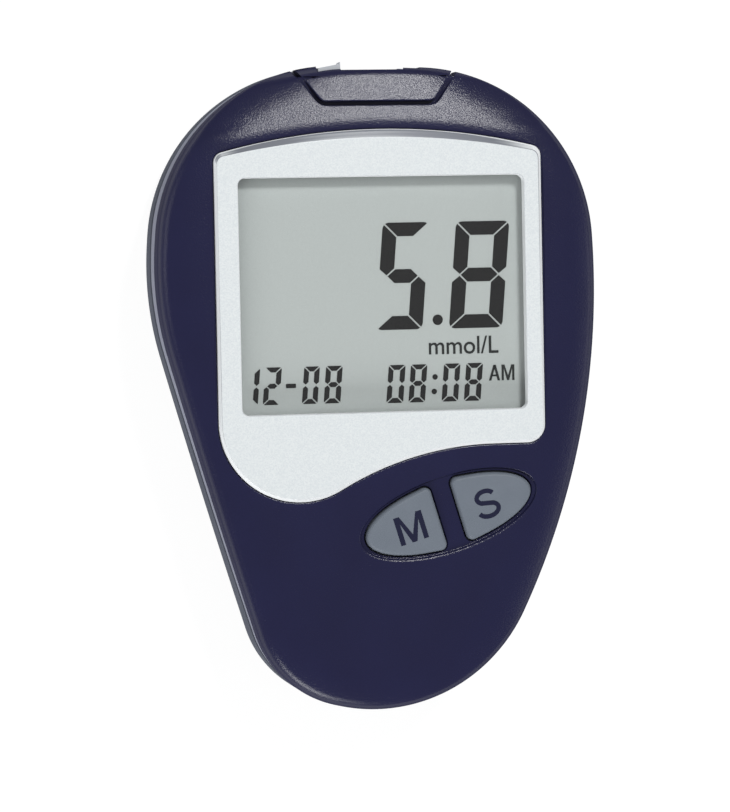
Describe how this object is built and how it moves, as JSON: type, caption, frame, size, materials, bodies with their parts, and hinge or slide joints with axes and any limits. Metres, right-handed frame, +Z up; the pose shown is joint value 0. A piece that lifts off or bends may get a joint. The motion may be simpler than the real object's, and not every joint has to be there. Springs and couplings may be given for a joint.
{
  "type": "blood glucose meter",
  "caption": "Pear-shaped hand-held blood glucose meter with a display window in a silver plate, two keys, a strip slot and a battery door.",
  "frame": {"origin": "middle of the bounding box at the feet, where the meter lies on a table", "axes": "+X across the meter to the right as the face is read, +Y from the tail to the strip port, +Z up out of the display"},
  "size_m": [0.0634, 0.0923, 0.0204],
  "materials": {
    "navy_abs": "fine spark-eroded texture, matte",
    "grey_abs": "fine texture, matte",
    "dark_grey_abs": "fine texture, matte",
    "silver_paint": "silver metallic paint, satin",
    "clear_window": "clear hard-coated acrylic",
    "lcd_glass": "reflective liquid crystal glass with its polariser",
    "white_film": "diffusing film",
    "frame_white": "moulded, matte",
    "black_elastomer": "smooth",
    "board_green": "solder mask, satin",
    "black_epoxy": "moulded epoxy",
    "ceramic": "ceramic chips with tinned ends",
    "steel": "nickel-plated steel",
    "brass_disc": "rolled brass",
    "gold_spring": "gold-plated spring bronze",
    "light_grey_abs": "moulded, satin",
    "key_grey": "fine texture, matte",
    "cell_jacket": "printed foil jacket, satin",
    "foot_rubber": "matte"
  },
  "bodies": {
    "meter": {"front_cover": "navy_abs", "side_band": "grey_abs", "back_cover": "dark_grey_abs", "face_plate": "silver_paint", "window_lens": "clear_window", "lcd_panel": "lcd_glass", "lcd_backing": "white_film", "lcd_holder": "frame_white", "contact_strips": "black_elastomer", "circuit_board": "board_green", "controller_chip": "black_epoxy", "board_parts": "ceramic", "crystal_can": "steel", "buzzer": "brass_disc", "board_screws": "steel", "strip_socket": "frame_white", "strip_contacts": "gold_spring", "strip_bezel": "light_grey_abs", "mode_switch": "steel", "set_switch": "steel", "cell_left": "cell_jacket", "cell_right": "cell_jacket", "battery_springs": "steel", "battery_contacts": "steel", "case_screws": "steel", "rubber_feet": "foot_rubber"},
    "mode_button": {"mode_key": "key_grey", "mode_plunger": "black_epoxy"},
    "set_button": {"set_key": "key_grey", "set_plunger": "black_epoxy"},
    "battery_lid": {"battery_door": "dark_grey_abs"},
    "strip_cover": {"port_cover": "navy_abs"}
  },
  "joints": [
    {"name": "mode_key_press", "type": "slide", "parent": "meter", "child": "mode_button", "axis": [0, 0, -1], "range_m": [0, 0.0005], "stiffness_N_per_m": 800, "springref_m": -0.0003},
    {"name": "set_key_press", "type": "slide", "parent": "meter", "child": "set_button", "axis": [0, 0, -1], "range_m": [0, 0.0005], "stiffness_N_per_m": 800, "springref_m": -0.0003},
    {"name": "battery_door_hinge", "type": "hinge", "parent": "meter", "child": "battery_lid", "pos_m": [-0.0008, 0.0204, 0.0004], "axis": [1, 0, 0], "range_deg": [0, 90]},
    {"name": "port_cover_slide", "type": "slide", "parent": "meter", "child": "strip_cover", "axis": [0, 1, 0], "range_m": [0, 0.012]}
  ]
}
